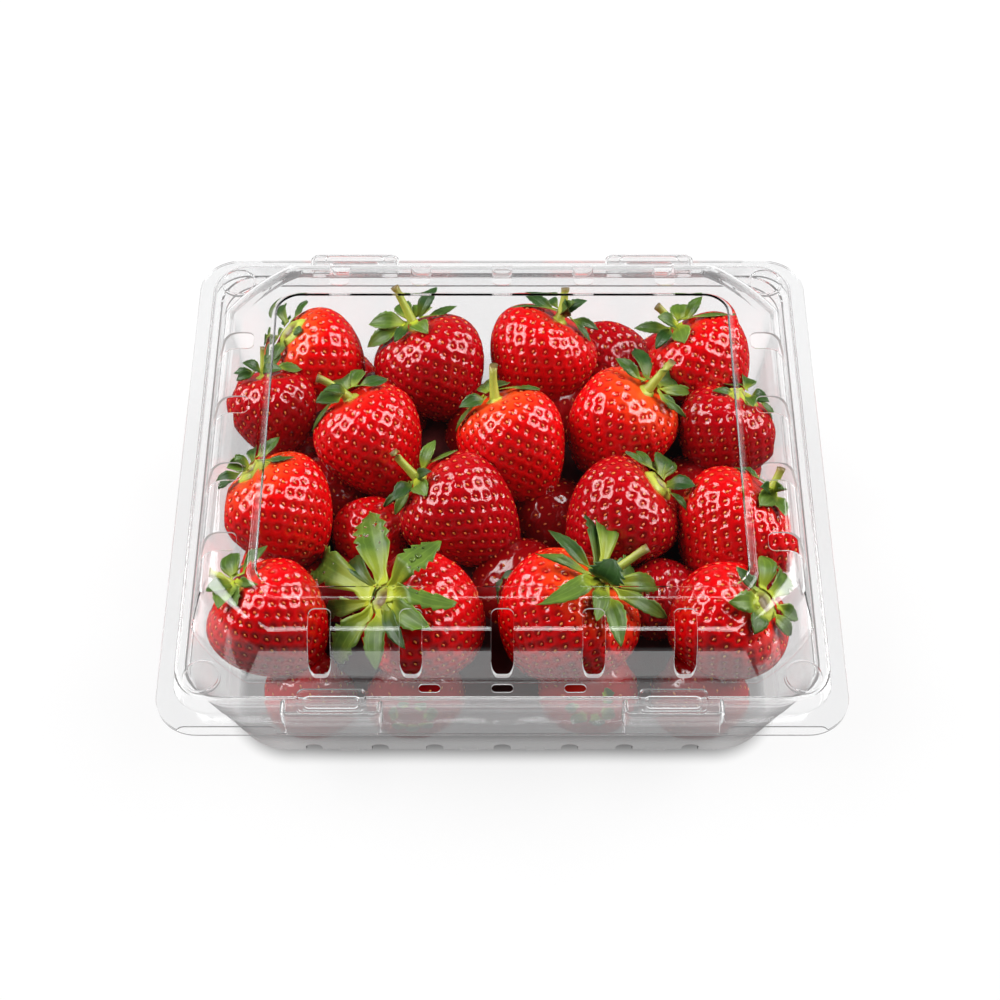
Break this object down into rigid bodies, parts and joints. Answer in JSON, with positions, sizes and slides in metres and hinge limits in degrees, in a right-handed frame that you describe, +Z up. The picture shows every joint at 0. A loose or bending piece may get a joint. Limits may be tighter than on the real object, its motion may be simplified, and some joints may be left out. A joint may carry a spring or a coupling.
{
  "type": "punnet of strawberries",
  "caption": "Clear vented plastic punnet with a hinged domed lid, filled with large ripe strawberries with green crowns",
  "frame": {"origin": "bottom centre of the tub, on the surface it stands on", "axes": "+X to the right seen from the front, +Y to the hinge at the back, +Z up"},
  "size_m": [0.24, 0.2148, 0.0811],
  "materials": {
    "clear_tub": "gloss",
    "clear_lid": "gloss",
    "strawberries": "satin",
    "leaves": "matte"
  },
  "bodies": {
    "tub": {"tub": "clear_tub", "berries": "strawberries"},
    "lid": {"lid": "clear_lid"}
  },
  "joints": [
    {"name": "lid_hinge", "type": "hinge", "parent": "tub", "child": "lid", "pos_m": [0, 0.1078, 0.0522], "axis": [-1, 0, 0], "range_deg": [0, 180]}
  ]
}
